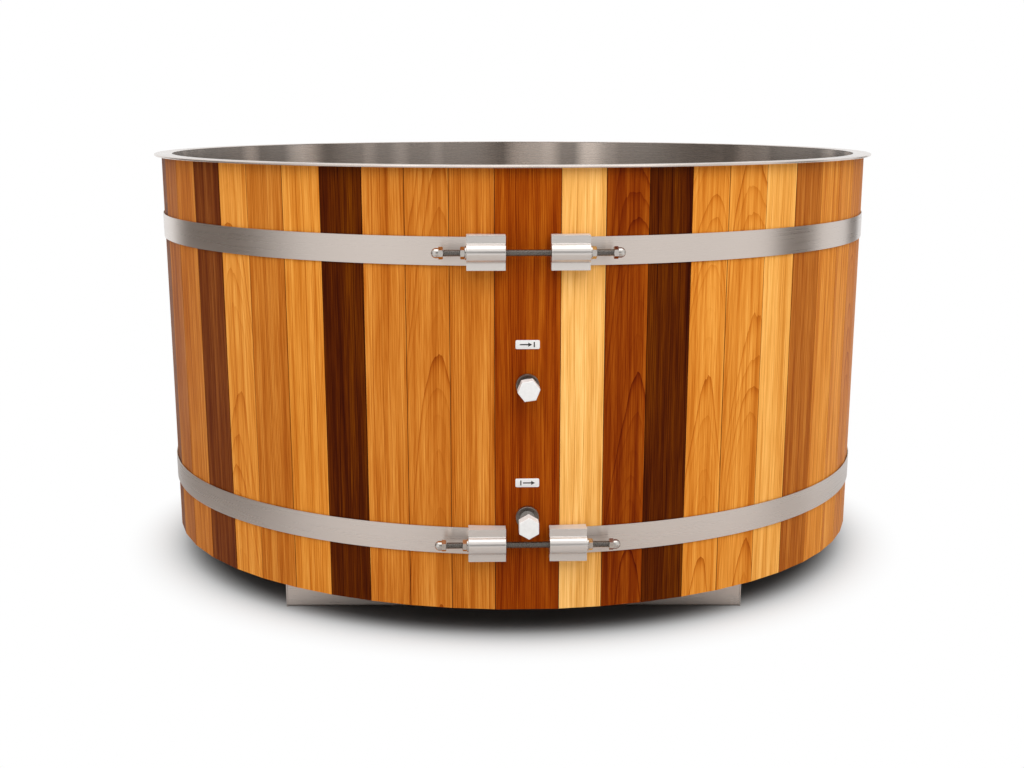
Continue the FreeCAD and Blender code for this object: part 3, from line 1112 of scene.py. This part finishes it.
class TUB_OT_plinth(bpy.types.Operator):
    """Folded steel plinth: every edge of its panels, plates and bearers is broken"""

    bl_idname = "tub.plinth"
    bl_label = "Plinth"

    def execute(self, context):
        metal = context.scene.tub_metal
        steel = brushed_sheet("brushed_plinth_steel", metal.sheet, 0.30, 0.015, round_tub=False)
        for node in sorted(name for name in frame["nodes"] if name.startswith("plinth_")):
            piece = copied(frame["nodes"][node], f"folded_{node}")
            bpy.ops.object.parent_clear(type="CLEAR_KEEP_TRANSFORM")
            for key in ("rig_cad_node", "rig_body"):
                del piece[key]
            edit(piece)
            bpy.ops.mesh.remove_doubles(threshold=1e-6)
            select_mesh()
            bpy.ops.mesh.dissolve_limited(angle_limit=math.radians(1))
            done()
            soften(piece, PLINTH_EASE)
            settle(piece, steel, "plinth_steel", node)
        return {"FINISHED"}


def studio_world(strength):
    """Soft light all round, which the camera, reflections and glass see as plain white."""
    world = bpy.data.worlds.new("studio")
    world.use_nodes = True
    tree = world.node_tree
    tree.nodes.clear()
    # Less light comes from near the floor, so that the shadow under the tub stays deep
    way = add_node(tree, "TexCoord")["Generated"]
    rise = add_node(tree, "SeparateXYZ", (way,))[2]
    light = add_node(tree, "MapRange", (rise, 0.0, 0.5, 0.40 * strength, 1.2 * strength))
    path = add_node(tree, "LightPath")
    seen = 0.0
    for ray in ("Is Camera Ray", "Is Glossy Ray", "Is Transmission Ray"):
        seen = add_node(tree, "Math", (path[ray], seen), operation="MAXIMUM")[0]
    shown = add_node(tree, "MapRange", (seen, 0.0, 1.0, light[0], 1.0))
    background = add_node(tree, "Background", {"Color": linear("FFFFFF"), "Strength": shown[0]})
    add_node(tree, "OutputWorld", {"Surface": background[0]})
    return world


def studio_paint():
    """Pale matt floor paint, darkened under the tub as a painted shadow, that goes over into the white of the
    backdrop away from the tub.
    """
    material, tree = new_material("white_studio_paint")
    spot = add_node(tree, "TexCoord")["Object"]
    mottle = add_node(tree, "TexNoise", {"Vector": spot, "Scale": 3.0})["Fac"]
    reach = add_node(tree, "VectorMath", (spot,), operation="LENGTH")["Value"]
    # Painted shadow: the paint is darkened under the tub, where the photo has next to no light
    edge = (reach, 0.64, 0.84, 0.08, 0.62)
    pale = add_node(tree, "MapRange", edge, interpolation_type="SMOOTHSTEP")
    tint = add_node(tree, "MapRange", (mottle, 0.0, 1.0, 0.97, 1.03))
    paint = add_node(tree, "Math", (pale[0], tint[0]), operation="MULTIPLY")
    shader = add_node(tree, "BsdfPrincipled", {"Base Color": paint[0], "Roughness": 0.8})
    # The white starts further out in reflections, and diffuse light doesn't get it
    path = add_node(tree, "LightPath")
    white_from = add_node(tree, "MapRange", (path["Is Camera Ray"], 0.0, 1.0, 2.8, 0.90))
    fade = add_node(tree, "MapRange", (reach, 0.69, white_from[0]), interpolation_type="SMOOTHSTEP")
    lit = add_node(tree, "Math", (1.0, path["Is Diffuse Ray"]), operation="SUBTRACT")
    share = add_node(tree, "Math", (fade[0], lit[0]), operation="MULTIPLY")
    glow = add_node(tree, "Emission", {"Color": linear("FFFFFF"), "Strength": 1.0})
    mixed = add_node(tree, "MixShader", (share[0], shader[0], glow[0]))
    add_node(tree, "OutputMaterial", {"Surface": mixed[0]})
    return material


class TUB_OT_stage(bpy.types.Operator):
    """Pale floor, soft light all round, two softboxes, the cloths that the metal reflects, and the camera"""

    bl_idname = "tub.stage"
    bl_label = "Stage"

    def execute(self, context):
        stage = context.scene.tub_stage
        scene = context.scene
        scene.view_settings.view_transform = "Standard"
        scene.world = studio_world(stage.world)

        bpy.ops.mesh.primitive_plane_add(size=STUDIO_WIDTH)
        floor = named("studio_floor")
        floor.data.materials.append(studio_paint())

        for name, spot, target, width, depth, power, mirrored in (
            ("softbox_above", (0, -1.2, 3.4), (0, -0.7, 0), 4.0, 3.2, stage.above, True),
            ("softbox_front", (0.5, -3.5, 3.3), (0, 0, 0.45), 4.5, 2.9, stage.front, False),
        ):
            bpy.ops.object.light_add(type="AREA", location=spot)
            lamp = named(name)
            lamp.data.shape = "RECTANGLE"
            lamp.data.energy = power
            lamp.data.size = width
            lamp.data.size_y = depth
            lamp.rotation_euler = (Vector(target) - lamp.location).to_track_quat("-Z", "Y").to_euler()
            lamp.visible_glossy = mirrored

        # Cloth flags and mats give the metal something to show; only reflections see them
        cloths = {}
        for name, code in (("grey_felt", "78726D"), ("black_velvet", "0C0C0B"), ("pale_felt", "B4ADA7")):
            cloths[name] = plain_solid(name, linear(code), 0.9, 8.0, thinning=True)
        stand = Matrix.Rotation(math.pi / 2, 4, "X")
        flat = Matrix.Identity(4)
        for name, cloth, spot, turn, size, pose in (
            ("flag_left", "grey_felt", (-2.35, 0.30, 0.70), 90, (3.7, 2.6), stand),
            ("flag_right", "grey_felt", (2.48, -0.26, 0.70), 90, (1.2, 2.4), stand),
            ("flag_far_right", "grey_felt", (1.93, 1.18, 0.70), -57, (0.8, 1.1), stand),
            ("flag_front", "black_velvet", (0.1, -7.0, 2.00), 0, (3.0, 4.4), stand),
            ("mat_left", "grey_felt", (-1.40, 0.0, 0.002), 0, (1.0, 2.4), flat),
            ("mat_front", "pale_felt", (0.1, -2.2, 0.002), 0, (1.4, 4.0), flat),
        ):
            bpy.ops.mesh.primitive_plane_add(size=1)
            flag = named(name)
            edit(flag)
            bpy.ops.transform.resize(value=(*size, 1), center_override=(0, 0, 0))
            done()
            place(flag, Matrix.Translation(spot) @ Matrix.Rotation(math.radians(turn), 4, "Z") @ pose)
            flag.data.materials.append(cloths[cloth])
            flag.visible_camera = False
            flag.visible_diffuse = False
            flag.visible_shadow = False

        bpy.ops.object.camera_add(location=stage.place)
        camera = named("photo_camera")
        camera.data.lens = stage.lens
        camera.data.sensor_width = 36
        camera.data.shift_y = stage.shift
        camera.rotation_euler = (math.pi / 2 - stage.pitch, 0, -stage.turn)
        scene.camera = camera
        return {"FINISHED"}


class TUB_PT_panel(bpy.types.Panel):
    """Lists the tub's pieces and their settings"""

    bl_idname = "TUB_PT_panel"
    bl_label = "Cold Plunge Tub"
    bl_space_type = "VIEW_3D"
    bl_region_type = "UI"
    bl_category = "Tub"

    def draw(self, context):
        for operator in OPERATORS:
            self.layout.operator(operator.bl_idname)
        for group in GROUPS:
            box = self.layout.box()
            for name in group.__annotations__:
                box.prop(getattr(context.scene, GROUPS[group]), name)


OPERATORS = (
    TUB_OT_staves,
    TUB_OT_basin,
    TUB_OT_hoops,
    TUB_OT_lugs,
    TUB_OT_fasteners,
    TUB_OT_ports,
    TUB_OT_labels,
    TUB_OT_plinth,
    TUB_OT_stage,
)
GROUPS = {
    TubBoards: "tub_boards",
    TubTones: "tub_tones",
    TubMetal: "tub_metal",
    TubStage: "tub_stage",
}


def register():
    for group, name in GROUPS.items():
        bpy.utils.register_class(group)
        setattr(bpy.types.Scene, name, bpy.props.PointerProperty(type=group))
    for operator in OPERATORS:
        bpy.utils.register_class(operator)
    bpy.utils.register_class(TUB_PT_panel)


def unregister():
    bpy.utils.unregister_class(TUB_PT_panel)
    for operator in reversed(OPERATORS):
        bpy.utils.unregister_class(operator)
    for group, name in reversed(GROUPS.items()):
        delattr(bpy.types.Scene, name)
        bpy.utils.unregister_class(group)


def main():
    register()
    bpy.ops.tub.staves()
    bpy.ops.tub.basin()
    bpy.ops.tub.hoops()
    bpy.ops.tub.lugs()
    bpy.ops.tub.fasteners()
    bpy.ops.tub.ports()
    bpy.ops.tub.labels()
    bpy.ops.tub.plinth()
    bpy.ops.tub.stage()
    bpy.context.view_layer.update()


if __name__ == "__main__":
    main()
